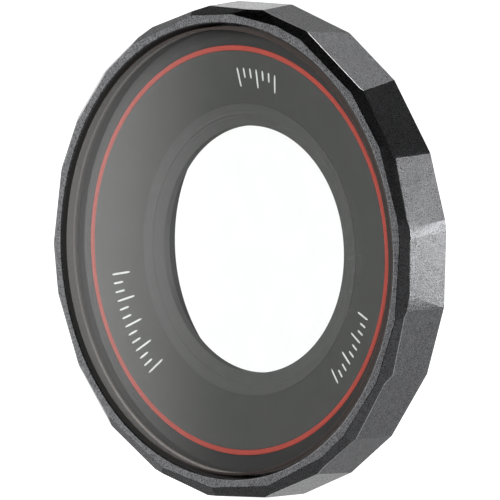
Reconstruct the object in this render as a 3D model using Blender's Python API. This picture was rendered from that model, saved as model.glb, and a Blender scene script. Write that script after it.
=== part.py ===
"""Twist-on glass lens cover for an action camera.

Frame: the optical axis is Y. The front (glass side) faces -Y, +Z is up, +X is to the
right when the cover is seen from the front. The origin is on the axis, in the rear seat
plane, where the bezel lands on the camera. Lengths below are in millimetres and are
scaled to metres once, by MM. Angles round the axis run clockwise from the top, seen from
the front.
"""

import math

import bmesh
import bpy
from mathutils import Vector

MM = 0.001

# ---------------------------------------------------------------- axial stations (Y, mm)
FACE_Y = -4.90          # bezel's front face
WALL_Y = -4.22          # where the front chamfer flats end and the grip flats begin
SEAT_Y = 0.0            # bezel's rear face, lands on the camera
GLASS_FRONT_Y = -4.86
GLASS_BACK_Y = -2.86
BOND_Y = (-2.76, -2.58)
MASK_Y = -2.46          # front of the mask's flat border and of the accent ring
MASK_T = 0.60           # mask wall thickness at the border
MASK_BOND_Y = (-1.76, -1.62)
WEB_Y = (-1.52, -0.86)  # bezel's inner web
FLANGE_Y = (-0.72, -0.02)
STEP_Y = 0.28           # inner shoulder of the collar, carries the baffle ring's foot
TAIL_Y = 3.30           # rear end of the collar

# ---------------------------------------------------------------- radii (mm)
FRONT_CREST_R = 20.64   # crests of the grip flats at WALL_Y
REAR_CREST_R = 20.74    # crests of the grip flats at SEAT_Y
FACE_CREST_R = 20.02    # crests of the front face's outline
BORE_R = 19.10          # seat for the glass
BORE_BREAK = 0.06       # edge break at the bore's mouth
GLASS_R = 18.79
GLASS_BEVEL = 0.22
BOND_R = (18.60, 18.78)
MASK_R = 18.72
ACCENT_R = (16.74, 17.18)
ACCENT_T = 0.26
ACCENT_GAP = 0.04
CONE_R = 16.70          # rim of the mask's cone
BAFFLE_R = 12.24        # rim of the light-trap ring
APERTURE_R = 10.35      # clear aperture
CONE_DEPTH = 1.71       # drop from the cone's rim to the aperture
BAFFLE_BORE = 0.72      # length of the aperture's plain bore
BAFFLE_STEPS = 4
MASK_BOND_R = (16.95, 18.55)
WEB_R = 16.40           # bore through the inner web
RECESS_R = 18.50        # rear recess that takes the collar's flange
FLANGE_R = 18.20
FLANGE_BORE_R = 13.50
COLLAR_R = 15.00
COLLAR_BORE_R = 13.45
SEAL_R = (12.65, 13.25)
SEAL_Y = (0.70, 3.20)
LUG_R = 16.30
LUG_Y = (2.20, 3.20)
LUG_SPAN = 38.0         # degrees
LUG_AZIMUTHS = (60.0, 180.0, 300.0)
O_RING_R = 15.75        # middle of the cord section
O_RING_D = 0.90
SCREW_R = 17.30         # pitch radius of the collar screws
SCREW_AZIMUTHS = (30.0, 90.0, 150.0, 210.0, 270.0, 330.0)
SCREW_HEAD_R, SCREW_HEAD_T = 0.90, 0.36
SCREW_SHANK_R, SCREW_LEN = 0.50, 1.00
SCREW_SOCKET_R, SCREW_SOCKET_T = 0.36, 0.22
PIN_R = 17.75           # pitch radius of the mask dowels
PIN_AZIMUTHS = (0.0, 180.0)
PIN_SHANK_R = 0.40
PIN_Y = (-2.06, -0.98)
HOLE_CLEAR = 0.15

# ---------------------------------------------------------------- the gem-cut outline
# Crest azimuths (degrees) of the same 22 flats at three levels: where the grip flats meet
# the front chamfer, at the rear seat, and where the chamfer meets the front face. The
# flats are unequal on purpose, which is what makes the bezel easy to grip with wet hands.
FRONT_CRESTS = (352, 10.5, 24.5, 47, 64, 82.5, 84.5, 100, 118, 138, 152,
                170, 188.5, 206, 224, 241, 257, 269.5, 287, 300, 315, 332)
REAR_CRESTS = (350, 6.5, 27, 44, 63.5, 79.5, 83, 101, 116.5, 134.5, 152,
               168, 190, 204, 226, 239, 259, 272, 285, 303, 313, 335)
FACE_CRESTS = (345, 17, 25, 45, 60, 78, 86, 106, 122, 138, 146,
               165, 183, 200, 222, 238, 257, 269, 287, 300, 316, 325)
SPLIT_CREST = 359.0     # one more corner on the face, between its first two crests
# Crests that stand further out than the rest, in mm, at the front and at the rear seat.
FRONT_FULLER = {170: 0.25, 188.5: 0.26, 206: 0.20, 224: 0.20}
REAR_FULLER = {350: 0.05, 6.5: 0.15, 27: 0.14, 44: 0.16, 63.5: 0.16, 79.5: 0.14, 83: 0.14,
               101: 0.12, 116.5: 0.08, 134.5: 0.15, 152: 0.12, 168: 0.05, 190: 0.20,
               204: 0.20, 226: 0.20}
# Small corner cuts at two crests: (crest azimuth, from, to) along the front edge, and the
# level where the cut runs out on the crest.
CORNER_CUTS = ((63.6, 60.0, 66.4), (100.4, 97.0, 103.5))
CORNER_CUT_Y = -1.90

SEGS = 64
FINE_SEGS = 64


# ---------------------------------------------------------------- helpers
def polar(radius, azimuth, y):
    a = math.radians(azimuth)
    return Vector((radius * math.sin(a), y, radius * math.cos(a)))


def material(name, color, metallic, roughness):
    mat = bpy.data.materials.get(name) or bpy.data.materials.new(name)
    mat.use_nodes = True
    shader = mat.node_tree.nodes["Principled BSDF"]
    shader.inputs["Base Color"].default_value = (*color, 1.0)
    shader.inputs["Metallic"].default_value = metallic
    shader.inputs["Roughness"].default_value = roughness
    return mat


def finish_mesh(bm, name, mat, smooth=True):
    bmesh.ops.remove_doubles(bm, verts=bm.verts, dist=1e-7)
    bmesh.ops.recalc_face_normals(bm, faces=bm.faces)
    mesh = bpy.data.meshes.new(name)
    bm.to_mesh(mesh)
    bm.free()
    obj = bpy.data.objects.new(name, mesh)
    bpy.context.scene.collection.objects.link(obj)
    if mat is not None:
        mesh.materials.append(mat)
    if smooth:
        mesh.shade_smooth()
        mesh.set_sharp_from_angle(angle=math.radians(30))
    return obj


def ring(name, outline, mat, segs=SEGS, phase=0.0):
    """Turns a closed outline of (radius, y) points round the Y axis."""
    bm = bmesh.new()
    loops = []
    for i in range(segs):
        azimuth = phase + 360.0 * i / segs
        loops.append([bm.verts.new(polar(r * MM, azimuth, y * MM)) for r, y in outline])
    count = len(outline)
    for i in range(segs):
        here, there = loops[i], loops[(i + 1) % segs]
        for j in range(count):
            k = (j + 1) % count
            bm.faces.new((here[j], here[k], there[k], there[j]))
    return finish_mesh(bm, name, mat)


def disc(name, outline, mat, segs=SEGS, centre=(0.0, 0.0), phase=0.0, smooth=True):
    """Turns an open outline of (radius, y) points, front to back, and caps both ends."""
    bm = bmesh.new()
    cx, cz = centre
    loops = []
    for r, y in outline:
        loop = []
        for i in range(segs):
            p = polar(r * MM, phase + 360.0 * i / segs, y * MM)
            loop.append(bm.verts.new((p.x + cx * MM, p.y, p.z + cz * MM)))
        loops.append(loop)
    for a, b in zip(loops, loops[1:]):
        for i in range(segs):
            k = (i + 1) % segs
            bm.faces.new((a[i], a[k], b[k], b[i]))
    bm.faces.new(loops[0])
    bm.faces.new(loops[-1])
    return finish_mesh(bm, name, mat, smooth)


def cutter(obj):
    obj.hide_render = True
    obj.display_type = "WIRE"
    obj.hide_viewport = False
    return obj


def cut(target, tool, operation="DIFFERENCE"):
    mod = target.modifiers.new(f"{operation.lower()}_{tool.name}", "BOOLEAN")
    mod.operation = operation
    mod.solver = "EXACT"
    mod.object = tool
    cutter(tool)


def plane_through(a, b, c, inside):
    """A plane as (point, outward normal), turned away from the point inside."""
    normal = (b - a).cross(c - a).normalized()
    if normal.dot(inside - a) > 0:
        normal = -normal
    return a, normal


def flat_between(a, b, c, d, share, inside):
    """The plane through the middles of two chords, running level along their mean.

    share says how far its direction follows the second chord, c to d."""
    along = (b - a).normalized() * (1.0 - share) + (d - c).normalized() * share
    middle = (a + b) / 2
    return plane_through(middle, middle + along, (c + d) / 2, inside)


def front_crest(azimuth):
    return polar(FRONT_CREST_R + FRONT_FULLER.get(azimuth, 0.0), azimuth, WALL_Y)


def rear_crest(azimuth):
    return polar(REAR_CREST_R + REAR_FULLER.get(azimuth, 0.0), azimuth, SEAT_Y)


def gem_planes():
    """The grip flats, the front chamfer flats and the corner cuts as planes."""
    inside = Vector((0.0, -2.0, 0.0))
    planes = []
    count = len(FRONT_CRESTS)
    for i in range(count):
        k = (i + 1) % count
        a = front_crest(FRONT_CRESTS[i])
        b = front_crest(FRONT_CRESTS[k])
        rear_a = rear_crest(REAR_CRESTS[i])
        rear_b = rear_crest(REAR_CRESTS[k])
        face_a = polar(FACE_CREST_R, FACE_CRESTS[i], FACE_Y)
        face_b = polar(FACE_CREST_R, FACE_CRESTS[k], FACE_Y)
        if i == 0:
            face_b = polar(FACE_CREST_R, SPLIT_CREST, FACE_Y)
        planes.append(flat_between(a, b, rear_a, rear_b, 0.3, inside))
        planes.append(flat_between(a, b, face_a, face_b, 0.6, inside))
    # the chamfer turns one more corner where the face's outline is longest
    planes.append(plane_through(polar(FRONT_CREST_R, FRONT_CRESTS[1], WALL_Y),
                                polar(FACE_CREST_R, SPLIT_CREST, FACE_Y),
                                polar(FACE_CREST_R, FACE_CRESTS[1], FACE_Y), inside))
    for crest, start, end in CORNER_CUTS:
        planes.append(plane_through(
            polar(FRONT_CREST_R * 0.9955, start, WALL_Y),
            polar(FRONT_CREST_R * 0.9975, end, WALL_Y),
            polar(REAR_CREST_R * 0.9990, crest, CORNER_CUT_Y), inside))
    return planes


def gem_blank(name, mat):
    """Cuts a plain block down to the bezel's outer form, plane by plane."""
    bm = bmesh.new()
    bmesh.ops.create_cube(bm, size=1.0)
    for v in bm.verts:
        v.co = Vector((v.co.x * 60.0, v.co.y * (SEAT_Y - FACE_Y) + (SEAT_Y + FACE_Y) / 2,
                       v.co.z * 60.0))
    for point, normal in gem_planes():
        geom = bm.verts[:] + bm.edges[:] + bm.faces[:]
        bmesh.ops.bisect_plane(bm, geom=geom, dist=1e-4, plane_co=point,
                               plane_no=normal, clear_outer=True)
        rim = [e for e in bm.edges if e.is_boundary]
        if rim:
            bmesh.ops.holes_fill(bm, edges=rim, sides=0)
        bmesh.ops.remove_doubles(bm, verts=bm.verts, dist=0.01)
        bmesh.ops.dissolve_degenerate(bm, edges=bm.edges, dist=0.005)
    for v in bm.verts:
        v.co *= MM
    return finish_mesh(bm, name, mat, smooth=False)


def plugs(name, specs, segs=16):
    """One cutter made of separate round plugs, each (radius, y0, y1, azimuth, pitch)."""
    bm = bmesh.new()
    for radius, y0, y1, azimuth, pitch in specs:
        centre = polar(pitch, azimuth, 0.0)
        loops = []
        for y in (y0, y1):
            loops.append([bm.verts.new((centre + polar(radius, azimuth + 5.0
                                                       + 360.0 * i / segs, y)) * MM)
                          for i in range(segs)])
        for i in range(segs):
            k = (i + 1) % segs
            bm.faces.new((loops[0][i], loops[0][k], loops[1][k], loops[1][i]))
        bm.faces.new(loops[0])
        bm.faces.new(loops[1])
    return finish_mesh(bm, name, None, smooth=False)


def cone_y(radius):
    """Front surface of the dish at a radius inside the cone's rim."""
    slope = CONE_DEPTH / (CONE_R - APERTURE_R)
    return MASK_Y + (CONE_R - radius) * slope


# ---------------------------------------------------------------- pieces
def build_bezel(mat):
    bezel = gem_blank("bezel_ring", mat)
    bore = ring_bore("bezel_bore", (
        (BORE_R + BORE_BREAK + 0.3, FACE_Y - 0.3), (BORE_R, FACE_Y + BORE_BREAK),
        (BORE_R, WEB_Y[0]), (WEB_R, WEB_Y[0]), (WEB_R, WEB_Y[1]),
        (RECESS_R, WEB_Y[1]), (RECESS_R, SEAT_Y + 0.3)), FINE_SEGS)
    cut(bezel, bore)
    cut(bezel, plugs("bezel_holes", [
        (SCREW_SHANK_R + HOLE_CLEAR, WEB_Y[0] - 0.4, WEB_Y[1] + 0.3, azimuth, SCREW_R)
        for azimuth in SCREW_AZIMUTHS] + [
        (PIN_SHANK_R + HOLE_CLEAR, WEB_Y[0] - 0.4, WEB_Y[1] + 0.3, azimuth, PIN_R)
        for azimuth in PIN_AZIMUTHS]))
    return bezel


def ring_bore(name, outline, segs):
    """A solid of revolution with both ends capped, used as a cutter."""
    return disc(name, outline, None, segs, smooth=False)


def build_glass(mat):
    r, b = GLASS_R, GLASS_BEVEL
    return disc("cover_glass", (
        (r - b, GLASS_FRONT_Y), (r, GLASS_FRONT_Y + b), (r, GLASS_BACK_Y - 0.12),
        (r - 0.12, GLASS_BACK_Y)), mat, SEGS)


def rect(r0, r1, y0, y1):
    return ((r0, y0), (r1, y0), (r1, y1), (r0, y1))


def build_mask(mat):
    inner = BAFFLE_R + 0.10
    back = cone_y(inner) + 0.42
    mask = ring("mask_plate", (
        (MASK_R, MASK_Y), (ACCENT_R[1] + ACCENT_GAP, MASK_Y),
        (ACCENT_R[1] + ACCENT_GAP, MASK_Y + ACCENT_T + ACCENT_GAP),
        (ACCENT_R[0] - ACCENT_GAP, MASK_Y + ACCENT_T + ACCENT_GAP),
        (ACCENT_R[0] - ACCENT_GAP, MASK_Y + 0.002),
        (inner, cone_y(inner)), (inner, back), (14.2, back),
        (WEB_R - 0.45, MASK_Y + MASK_T + 0.16), (MASK_BOND_R[0] - 0.25, MASK_Y + MASK_T),
        (MASK_R, MASK_Y + MASK_T)), mat)
    cut(mask, plugs("mask_pin_holes", [
        (PIN_SHANK_R + HOLE_CLEAR, PIN_Y[0] - 0.10, MASK_Y + MASK_T + 0.3, azimuth, PIN_R)
        for azimuth in PIN_AZIMUTHS]))
    return mask


def build_accent(mat):
    return ring("accent_ring", rect(ACCENT_R[0], ACCENT_R[1], MASK_Y, MASK_Y + ACCENT_T), mat)


def build_baffle(mat):
    """Light-trap ring: a row of fine saw steps, then the plain aperture bore."""
    outline = [(BAFFLE_R, cone_y(BAFFLE_R))]
    width = (BAFFLE_R - APERTURE_R - 0.55) / BAFFLE_STEPS
    for i in range(BAFFLE_STEPS):
        r = BAFFLE_R - width * (i + 1)
        outline.append((r + 0.05, cone_y(r + width) + 0.02))
        outline.append((r, cone_y(r)))
    outline += [(APERTURE_R, cone_y(APERTURE_R)),
                (APERTURE_R, cone_y(APERTURE_R) + BAFFLE_BORE)]
    foot = cone_y(BAFFLE_R + 0.10) + 0.42 + 0.12
    outline += [(FLANGE_BORE_R - 0.25, cone_y(APERTURE_R) + BAFFLE_BORE),
                (FLANGE_BORE_R - 0.25, foot), (BAFFLE_R, foot)]
    return ring("baffle_ring", outline, mat)


def build_collar(mat):
    collar = ring("bayonet_ring", (
        (FLANGE_BORE_R, FLANGE_Y[0]), (FLANGE_R, FLANGE_Y[0]), (FLANGE_R, FLANGE_Y[1]),
        (COLLAR_R, FLANGE_Y[1]), (COLLAR_R, TAIL_Y - 0.15), (COLLAR_R - 0.15, TAIL_Y),
        (COLLAR_BORE_R, TAIL_Y), (COLLAR_BORE_R, STEP_Y + 0.32),
        (SEAL_R[0], STEP_Y + 0.32), (SEAL_R[0], STEP_Y), (FLANGE_BORE_R, STEP_Y)), mat)
    for i, azimuth in enumerate(LUG_AZIMUTHS):
        cut(collar, lug(f"lug_blank_{i + 1}", azimuth), "UNION")
    cut(collar, plugs("collar_head_seats", [
        (SCREW_HEAD_R + HOLE_CLEAR, FLANGE_Y[1] - SCREW_HEAD_T - 0.09, FLANGE_Y[1] + 0.3,
         azimuth, SCREW_R) for azimuth in SCREW_AZIMUTHS], 20))
    cut(collar, plugs("collar_screw_holes", [
        (SCREW_SHANK_R + HOLE_CLEAR, FLANGE_Y[0] - 0.3, FLANGE_Y[1], azimuth, SCREW_R)
        for azimuth in SCREW_AZIMUTHS]))
    return collar


def lug(name, azimuth, segs=12):
    """One twist-lock lug: a sector with a lead-in ramp on its locking end."""
    bm = bmesh.new()
    rows = []
    for i in range(segs + 1):
        a = azimuth - LUG_SPAN / 2 + LUG_SPAN * i / segs
        lead = max(0.0, 1.0 - i / 3.0) * 0.35
        rows.append([bm.verts.new(polar(r * MM, a, y * MM)) for r, y in (
            (COLLAR_R - 0.4, LUG_Y[0] + lead), (LUG_R, LUG_Y[0] + lead),
            (LUG_R, LUG_Y[1] - 0.2), (LUG_R - 0.2, LUG_Y[1]), (COLLAR_R - 0.4, LUG_Y[1]))])
    for a, b in zip(rows, rows[1:]):
        for j in range(5):
            k = (j + 1) % 5
            bm.faces.new((a[j], a[k], b[k], b[j]))
    bm.faces.new(rows[0])
    bm.faces.new(rows[-1])
    return finish_mesh(bm, name, None, smooth=False)


def build_seal(mat):
    y0, y1 = SEAL_Y
    r0, r1 = SEAL_R
    return ring("lens_seal", (
        (r0, y0), (r1, y0), (r1, y1), (r0 + 0.20, y1), (r0, y1 - 0.20)), mat)


def build_o_ring(mat):
    r = O_RING_D / 2
    outline = [(O_RING_R + r * math.cos(a), FLANGE_Y[1] + 0.12 + r + r * math.sin(a))
               for a in (2 * math.pi * i / 10 for i in range(10))]
    return ring("seat_o_ring", outline, mat, 48)


def build_screw(index, azimuth, mat):
    p = polar(SCREW_R, azimuth, 0.0)
    top = FLANGE_Y[1] - 0.04
    under = top - SCREW_HEAD_T
    name = f"collar_screw_{index}"
    screw = disc(name, (
        (SCREW_SHANK_R - 0.12, under - SCREW_LEN), (SCREW_SHANK_R, under - SCREW_LEN + 0.12),
        (SCREW_SHANK_R, under), (SCREW_HEAD_R, under), (SCREW_HEAD_R, top - 0.08),
        (SCREW_HEAD_R - 0.08, top)), mat, 18, (p.x, p.z))
    socket = disc(f"socket_{index}", (
        (SCREW_SOCKET_R, top - SCREW_SOCKET_T), (SCREW_SOCKET_R, top + 0.2)),
        None, 6, (p.x, p.z), phase=azimuth, smooth=False)
    cut(screw, socket)
    return screw


def build_pin(index, azimuth, mat):
    p = polar(PIN_R, azimuth, 0.0)
    return disc(f"mask_pin_{index}", (
        (PIN_SHANK_R - 0.08, PIN_Y[0]), (PIN_SHANK_R, PIN_Y[0] + 0.08),
        (PIN_SHANK_R, PIN_Y[1] - 0.08), (PIN_SHANK_R - 0.08, PIN_Y[1])),
        mat, 14, (p.x, p.z))


def main():
    for obj in list(bpy.data.objects):
        bpy.data.objects.remove(obj, do_unlink=True)

    anodised = material("bezel_anodised", (0.062, 0.062, 0.066), 0.75, 0.48)
    collar_black = material("collar_anodised", (0.020, 0.020, 0.022), 0.70, 0.42)
    glass = material("glass_clear", (0.95, 0.96, 0.97), 0.0, 0.03)
    mask_black = material("mask_black", (0.055, 0.055, 0.054), 0.0, 0.50)
    baffle_black = material("baffle_black", (0.052, 0.052, 0.051), 0.0, 0.48)
    red = material("accent_red", (0.55, 0.055, 0.032), 0.0, 0.38)
    rubber = material("rubber_black", (0.012, 0.012, 0.012), 0.0, 0.70)
    adhesive = material("adhesive_black", (0.008, 0.008, 0.008), 0.0, 0.55)
    steel = material("steel_screw", (0.42, 0.42, 0.43), 1.0, 0.30)

    build_bezel(anodised)
    build_glass(glass)
    ring("glass_bond_ring", rect(*BOND_R, *BOND_Y), adhesive)
    build_mask(mask_black)
    build_accent(red)
    build_baffle(baffle_black)
    bond = ring("mask_bond_ring", rect(*MASK_BOND_R, *MASK_BOND_Y), adhesive)
    cut(bond, plugs("mask_bond_pin_holes", [
        (PIN_SHANK_R + HOLE_CLEAR, MASK_BOND_Y[0] - 0.3, MASK_BOND_Y[1] + 0.3,
         azimuth, PIN_R) for azimuth in PIN_AZIMUTHS]))
    build_collar(collar_black)
    build_seal(rubber)
    build_o_ring(rubber)
    for i, azimuth in enumerate(SCREW_AZIMUTHS):
        build_screw(i + 1, azimuth, steel)
    for i, azimuth in enumerate(PIN_AZIMUTHS):
        build_pin(i + 1, azimuth, steel)


main()
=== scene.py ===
import math

import bmesh
import bpy
from mathutils import Matrix, Vector


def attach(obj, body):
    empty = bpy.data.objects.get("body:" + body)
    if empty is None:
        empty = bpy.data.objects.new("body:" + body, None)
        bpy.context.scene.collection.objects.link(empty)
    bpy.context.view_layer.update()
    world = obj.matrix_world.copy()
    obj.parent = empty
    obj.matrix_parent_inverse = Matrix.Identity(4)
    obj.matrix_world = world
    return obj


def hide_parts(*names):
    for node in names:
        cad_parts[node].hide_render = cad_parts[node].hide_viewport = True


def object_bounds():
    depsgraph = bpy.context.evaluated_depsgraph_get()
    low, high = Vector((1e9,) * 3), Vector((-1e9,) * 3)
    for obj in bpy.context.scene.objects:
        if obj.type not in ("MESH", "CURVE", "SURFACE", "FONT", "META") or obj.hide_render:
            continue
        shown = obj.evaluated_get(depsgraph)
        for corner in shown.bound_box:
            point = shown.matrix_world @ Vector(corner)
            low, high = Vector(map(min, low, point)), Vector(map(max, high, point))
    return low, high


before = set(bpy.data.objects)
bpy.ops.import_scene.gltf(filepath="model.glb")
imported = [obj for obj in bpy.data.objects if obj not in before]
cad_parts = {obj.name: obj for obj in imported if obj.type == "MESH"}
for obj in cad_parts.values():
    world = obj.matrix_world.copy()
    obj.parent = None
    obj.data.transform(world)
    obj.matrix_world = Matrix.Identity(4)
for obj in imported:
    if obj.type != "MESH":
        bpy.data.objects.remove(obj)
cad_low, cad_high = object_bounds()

# Twist-on glass lens cover for an action camera. The optical axis is Y, the glass side
# faces -Y and +Z is up. Lengths are in millimetres and are scaled to metres by MM.
# Angles round the axis run clockwise from the top, seen from the front.
MM = 0.001

# ---------------------------------------------------------------- axial stations (Y, mm)
FACE_Y = -4.90
WALL_Y = -4.22
SEAT_Y = 0.0
GLASS_FRONT_Y = -4.86
GLASS_BACK_Y = -2.86
BOND_Y = (-2.76, -2.58)
MASK_Y = -2.46
MASK_T = 0.60
MASK_BOND_Y = (-1.76, -1.62)
WEB_Y = (-1.52, -0.86)
FLANGE_Y = (-0.72, -0.02)
STEP_Y = 0.28
TAIL_Y = 3.30

# ---------------------------------------------------------------- radii (mm)
FRONT_CREST_R = 20.64
REAR_CREST_R = 20.74
FACE_CREST_R = 20.02
BORE_R = 19.10
GLASS_R = 18.79
GLASS_BEVEL = 0.22
BOND_R = (18.60, 18.78)
MASK_R = 18.72
ACCENT_R = (16.74, 17.18)
ACCENT_T = 0.26
ACCENT_GAP = 0.04
CONE_R = 16.70
BAFFLE_R = 12.24
APERTURE_R = 10.35
CONE_DEPTH = 1.71
BAFFLE_BORE = 0.72
MASK_BOND_R = (16.95, 18.55)
WEB_R = 16.40
RECESS_R = 18.50
FLANGE_R = 18.20
FLANGE_BORE_R = 13.50
COLLAR_R = 15.00
COLLAR_BORE_R = 13.45
SEAL_R = (12.65, 13.25)
SEAL_Y = (0.70, 3.20)
LUG_R = 16.30
LUG_Y = (2.20, 3.20)
LUG_SPAN = 38.0
LUG_AZIMUTHS = (60.0, 180.0, 300.0)
O_RING_R = 15.75
O_RING_D = 0.90
SCREW_R = 17.30
SCREW_AZIMUTHS = (30.0, 90.0, 150.0, 210.0, 270.0, 330.0)
SCREW_HEAD_R, SCREW_HEAD_T = 0.90, 0.36
SCREW_SHANK_R, SCREW_LEN = 0.50, 1.00
SCREW_SOCKET_R, SCREW_SOCKET_T = 0.36, 0.22
PIN_R = 17.75
PIN_AZIMUTHS = (0.0, 180.0)
PIN_SHANK_R = 0.40
PIN_Y = (-2.06, -0.98)
HOLE_CLEAR = 0.15
EDGE_R = 0.13          # rounding of the bezel's crests
MARK_R = 14.48          # middle of the dial marks on the cone

# Crest azimuths (degrees) of the bezel's flats at three levels, as in the CAD
FRONT_CRESTS = (352, 10.5, 24.5, 47, 64, 82.5, 84.5, 100, 118, 138, 152,
                170, 188.5, 206, 224, 241, 257, 269.5, 287, 300, 315, 332)
REAR_CRESTS = (350, 6.5, 27, 44, 63.5, 79.5, 83, 101, 116.5, 134.5, 152,
               168, 190, 204, 226, 239, 259, 272, 285, 303, 313, 335)
FACE_CRESTS = (345, 17, 25, 45, 60, 78, 86, 106, 122, 138, 146,
               165, 183, 200, 222, 238, 257, 269, 287, 300, 316, 325)
SPLIT_CREST = 359.0
# Crests that stand further out than the rest, in mm, at the front and at the rear seat.
FRONT_FULLER = {170: 0.25, 188.5: 0.26, 206: 0.20, 224: 0.20}
REAR_FULLER = {350: 0.05, 6.5: 0.15, 27: 0.14, 44: 0.16, 63.5: 0.16, 79.5: 0.14, 83: 0.14,
               101: 0.12, 116.5: 0.08, 134.5: 0.15, 152: 0.12, 168: 0.05, 190: 0.20,
               204: 0.20, 226: 0.20}
CORNER_CUTS = ((63.6, 60.0, 66.4), (100.4, 97.0, 103.5))
CORNER_CUT_Y = -1.90

SEGS = 256


# ---------------------------------------------------------------- mesh helpers
def polar(radius, azimuth, y):
    a = math.radians(azimuth)
    return Vector((radius * math.sin(a), y, radius * math.cos(a)))


def into_object(bm, name, mat=None, smooth=True, angle=32.0, merge=1e-7):
    bmesh.ops.remove_doubles(bm, verts=bm.verts, dist=merge)
    bmesh.ops.recalc_face_normals(bm, faces=bm.faces)
    mesh = bpy.data.meshes.new(name)
    bm.to_mesh(mesh)
    bm.free()
    obj = bpy.data.objects.new(name, mesh)
    bpy.context.scene.collection.objects.link(obj)
    if mat is not None:
        mesh.materials.append(mat)
    if smooth:
        mesh.shade_smooth()
        mesh.set_sharp_from_angle(angle=math.radians(angle))
    return obj


def soften(outline, radius, steps=3, closed=True, sharp=()):
    """Rounds the corners of an outline of (r, y) points. radius is one number in mm."""
    points = [Vector(p) for p in outline]
    count = len(points)
    out = []
    for i, p in enumerate(points):
        if i in sharp or (not closed and i in (0, count - 1)):
            out.append((p.x, p.y))
            continue
        before, after = points[i - 1], points[(i + 1) % count]
        u, v = (before - p), (after - p)
        lu, lv = u.length, v.length
        u.normalize()
        v.normalize()
        turn = math.acos(max(-1.0, min(1.0, u.dot(v))))
        if turn > math.radians(172):
            out.append((p.x, p.y))
            continue
        reach = min(radius / math.tan(turn / 2), 0.42 * lu, 0.42 * lv)
        r = reach * math.tan(turn / 2)
        centre = p + (u + v).normalized() * (r / math.sin(turn / 2))
        start, end = p + u * reach - centre, p + v * reach - centre
        span = start.angle_signed(end)
        for k in range(steps + 1):
            a = -span * k / steps
            q = centre + Vector((start.x * math.cos(a) - start.y * math.sin(a),
                                 start.x * math.sin(a) + start.y * math.cos(a)))
            out.append((q.x, q.y))
    return out


def lathe(name, outline, mat=None, segs=SEGS, closed=True, centre=(0.0, 0.0), phase=0.0,
          angle=32.0, smooth=True):
    """Turns an outline of (radius, y) points round Y. An open one gets flat caps."""
    bm = bmesh.new()
    cx, cz = centre
    loops = []
    for r, y in outline:
        loop = []
        for i in range(segs):
            p = polar(r, phase + 360.0 * i / segs, y)
            loop.append(bm.verts.new(((p.x + cx) * MM, p.y * MM, (p.z + cz) * MM)))
        loops.append(loop)
    pairs = list(zip(loops, loops[1:] + ([loops[0]] if closed else [])))
    for a, b in pairs:
        for i in range(segs):
            k = (i + 1) % segs
            bm.faces.new((a[i], a[k], b[k], b[i]))
    if not closed:
        bm.faces.new(loops[0])
        bm.faces.new(loops[-1])
    return into_object(bm, name, mat, smooth, angle)


def boolean(target, tools, operation="DIFFERENCE"):
    """Cuts or joins tools with target for good, and removes the tools."""
    for tool in tools:
        mod = target.modifiers.new("boolean", "BOOLEAN")
        mod.operation = operation
        mod.solver = "EXACT"
        mod.object = tool
    apply_modifiers(target)
    for tool in tools:
        bpy.data.objects.remove(tool, do_unlink=True)
    return target


def apply_modifiers(obj):
    bpy.context.view_layer.update()
    graph = bpy.context.evaluated_depsgraph_get()
    mesh = bpy.data.meshes.new_from_object(obj.evaluated_get(graph))
    old = obj.data
    obj.modifiers.clear()
    obj.data = mesh
    mesh.name = obj.name
    bpy.data.meshes.remove(old)
    return obj


def even_normals(obj, angle=30.0):
    """Flat faces stay flat and only the rounded edges turn the light."""
    obj.data.shade_smooth()
    obj.data.set_sharp_from_angle(angle=math.radians(angle))
    mod = obj.modifiers.new("even_normals", "WEIGHTED_NORMAL")
    mod.mode = "FACE_AREA"
    mod.weight = 60
    mod.keep_sharp = True
    return obj


def place(obj, mat, slot, *nodes, angle=30.0):
    """Gives a finished piece its material and its body, and hides the CAD parts of the nodes it
    stands for.
    """
    obj.data.materials.clear()
    obj.data.materials.append(mat)
    for poly in obj.data.polygons:
        poly.material_index = 0
    even_normals(obj, angle)
    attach(obj, "root")
    if nodes:
        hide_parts(*nodes)
    return obj


def plane_through(a, b, c, inside):
    normal = (b - a).cross(c - a).normalized()
    if normal.dot(inside - a) > 0:
        normal = -normal
    return a, normal


def flat_between(a, b, c, d, share, inside):
    along = (b - a).normalized() * (1.0 - share) + (d - c).normalized() * share
    middle = (a + b) / 2
    return plane_through(middle, middle + along, (c + d) / 2, inside)


def front_crest(azimuth):
    return polar(FRONT_CREST_R + FRONT_FULLER.get(azimuth, 0.0), azimuth, WALL_Y)


def rear_crest(azimuth):
    return polar(REAR_CREST_R + REAR_FULLER.get(azimuth, 0.0), azimuth, SEAT_Y)


def gem_planes():
    """The grip flats, the front chamfer flats and the corner cuts as planes."""
    inside = Vector((0.0, -2.0, 0.0))
    planes = []
    count = len(FRONT_CRESTS)
    for i in range(count):
        k = (i + 1) % count
        a = front_crest(FRONT_CRESTS[i])
        b = front_crest(FRONT_CRESTS[k])
        rear_a = rear_crest(REAR_CRESTS[i])
        rear_b = rear_crest(REAR_CRESTS[k])
        face_a = polar(FACE_CREST_R, FACE_CRESTS[i], FACE_Y)
        face_b = polar(FACE_CREST_R, FACE_CRESTS[k], FACE_Y)
        if i == 0:
            face_b = polar(FACE_CREST_R, SPLIT_CREST, FACE_Y)
        planes.append(flat_between(a, b, rear_a, rear_b, 0.3, inside))
        planes.append(flat_between(a, b, face_a, face_b, 0.6, inside))
    planes.append(plane_through(polar(FRONT_CREST_R, FRONT_CRESTS[1], WALL_Y),
                                polar(FACE_CREST_R, SPLIT_CREST, FACE_Y),
                                polar(FACE_CREST_R, FACE_CRESTS[1], FACE_Y), inside))
    for crest, start, end in CORNER_CUTS:
        planes.append(plane_through(
            polar(FRONT_CREST_R * 0.9955, start, WALL_Y),
            polar(FRONT_CREST_R * 0.9975, end, WALL_Y),
            polar(REAR_CREST_R * 0.9990, crest, CORNER_CUT_Y), inside))
    return planes


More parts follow.
